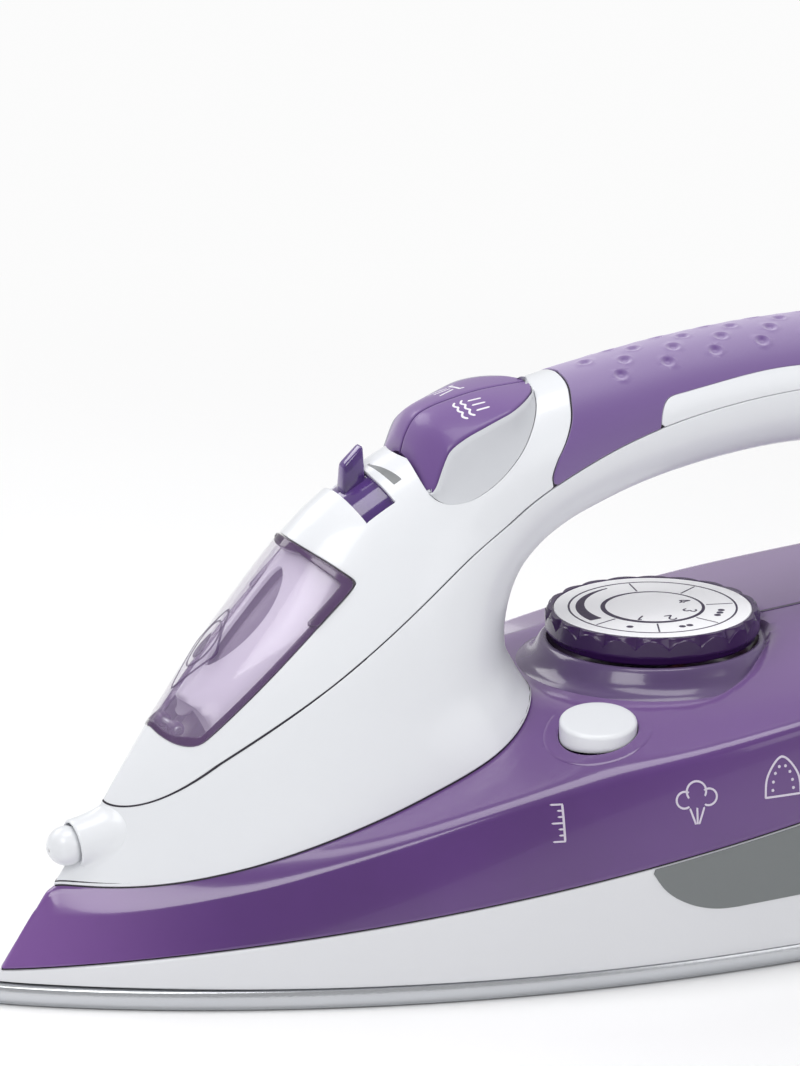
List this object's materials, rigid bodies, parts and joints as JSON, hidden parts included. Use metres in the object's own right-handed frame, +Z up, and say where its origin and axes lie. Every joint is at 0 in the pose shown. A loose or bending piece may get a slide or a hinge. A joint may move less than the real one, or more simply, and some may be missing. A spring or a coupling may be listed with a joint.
{
  "type": "steam iron",
  "caption": "Household steam iron with aluminium soleplate, translucent water tank, filler door, temperature dial, spray and steam buttons, steam lever and heel rest.",
  "frame": {"origin": "on the soleplate's underside, on the centre line, 140 mm behind the nose tip", "axes": "+X towards the heel, -X towards the nose, +Y towards the side away from the self-clean button, +Z up from the soleplate"},
  "size_m": [0.3629, 0.1202, 0.2067],
  "materials": {
    "sole": "satin anodised plate",
    "cast": "as-cast aluminium",
    "white": "glossy white moulding",
    "skirt": "heat-resistant white moulding",
    "grey": "fine matt grey",
    "tank": "translucent purple, polished",
    "tank_inner": "translucent natural moulding",
    "lid": "translucent lilac, polished",
    "grip": "soft-touch purple",
    "button": "satin purple",
    "bezel": "satin pale grey",
    "dark": "polished dark purple",
    "disc": "printed white disc",
    "collar": "translucent grey violet",
    "lamp": "translucent amber",
    "rubber": "matt rubber",
    "seal": "silicone",
    "steel": "stainless",
    "screw": "zinc plated",
    "element": "oxidised sheath",
    "ceramic": "glazed ceramic",
    "inner": "natural moulding",
    "cord": "flexible sheath",
    "brass": "turned"
  },
  "bodies": {
    "iron": {"soleplate": "sole", "heating_element": "element", "steam_chamber_cover": "cast", "chamber_seal": "seal", "thermostat_body": "ceramic", "thermal_fuse": "ceramic", "heat_skirt": "skirt", "accent_panels": "grey", "tank_shell": "tank", "tank_base": "tank_inner", "spindle_tube": "tank_inner", "lower_shell": "white", "upper_shell": "white", "handle_grip": "grip", "filler_funnel": "white", "spray_nozzle": "white", "nozzle_insert": "brass", "spray_tube": "inner", "pump_bezel": "bezel", "spray_pump_barrel": "inner", "burst_pump_barrel": "inner", "burst_tube": "inner", "pump_intake_tubes": "inner", "lever_guide": "inner", "valve_seat": "brass", "dial_collar": "collar", "pilot_lamp": "lamp", "self_clean_seat": "tank_inner", "heel_housing": "white", "heel_cover": "white", "heel_feet": "rubber", "heel_screws": "screw", "sole_screws": "screw", "terminal_block": "ceramic", "lead_wires": "brass"},
    "filler_door": {"filler_door": "lid", "door_pin": "steel"},
    "lever": {"steam_lever": "dark"},
    "valve": {"valve_rod": "steel"},
    "spray_key": {"spray_button": "button", "spray_plunger": "inner", "spray_spring": "steel"},
    "burst_key": {"steam_burst_button": "button", "burst_plunger": "inner", "burst_spring": "steel"},
    "dial": {"temperature_dial": "dark", "dial_disc": "disc", "thermostat_spindle": "inner"},
    "self_clean": {"self_clean_button": "white", "self_clean_rod": "steel"},
    "swivel": {"swivel_collar": "bezel", "guard_pin": "steel"},
    "guard": {"cord_guard": "rubber", "power_cord": "cord"}
  },
  "joints": [
    {"name": "filler_door_hinge", "type": "hinge", "parent": "iron", "child": "filler_door", "pos_m": [-0.0917, 0, 0.0624], "axis": [0, -1, 0], "range_deg": [0, 70]},
    {"name": "steam_lever_hinge", "type": "hinge", "parent": "iron", "child": "lever", "pos_m": [-0.0369, 0, 0.1017], "axis": [0.8722, 0, 0.4891], "range_deg": [-14, 14]},
    {"name": "valve_slide", "type": "slide", "parent": "iron", "child": "valve", "axis": [0, 0, 1], "range_m": [-0.003, 0.003]},
    {"name": "spray_press", "type": "slide", "parent": "iron", "child": "spray_key", "axis": [0, 0, -1], "range_m": [0, 0.0025], "stiffness_N_per_m": 300, "deforming": ["spray_spring"]},
    {"name": "burst_press", "type": "slide", "parent": "iron", "child": "burst_key", "axis": [0, 0, -1], "range_m": [0, 0.0025], "stiffness_N_per_m": 300, "deforming": ["burst_spring"]},
    {"name": "dial_turn", "type": "hinge", "parent": "iron", "child": "dial", "pos_m": [0.0357, 0, 0.0672], "axis": [0, 0, -1], "range_deg": [0, 290]},
    {"name": "self_clean_press", "type": "slide", "parent": "iron", "child": "self_clean", "axis": [0, 0, -1], "range_m": [0, 0.003], "stiffness_N_per_m": 400},
    {"name": "cord_swivel", "type": "hinge", "parent": "iron", "child": "swivel", "pos_m": [0.1135, 0, 0.131], "axis": [0.4695, 0, 0.8829], "range_deg": [-90, 90]},
    {"name": "guard_tilt", "type": "hinge", "parent": "swivel", "child": "guard", "pos_m": [0.1135, 0, 0.131], "axis": [0, 1, 0], "range_deg": [-20, 20]}
  ],
  "couplings": [
    {"joint": "valve_slide", "follows": "steam_lever_hinge", "m_per_rad": 0.012}
  ]
}
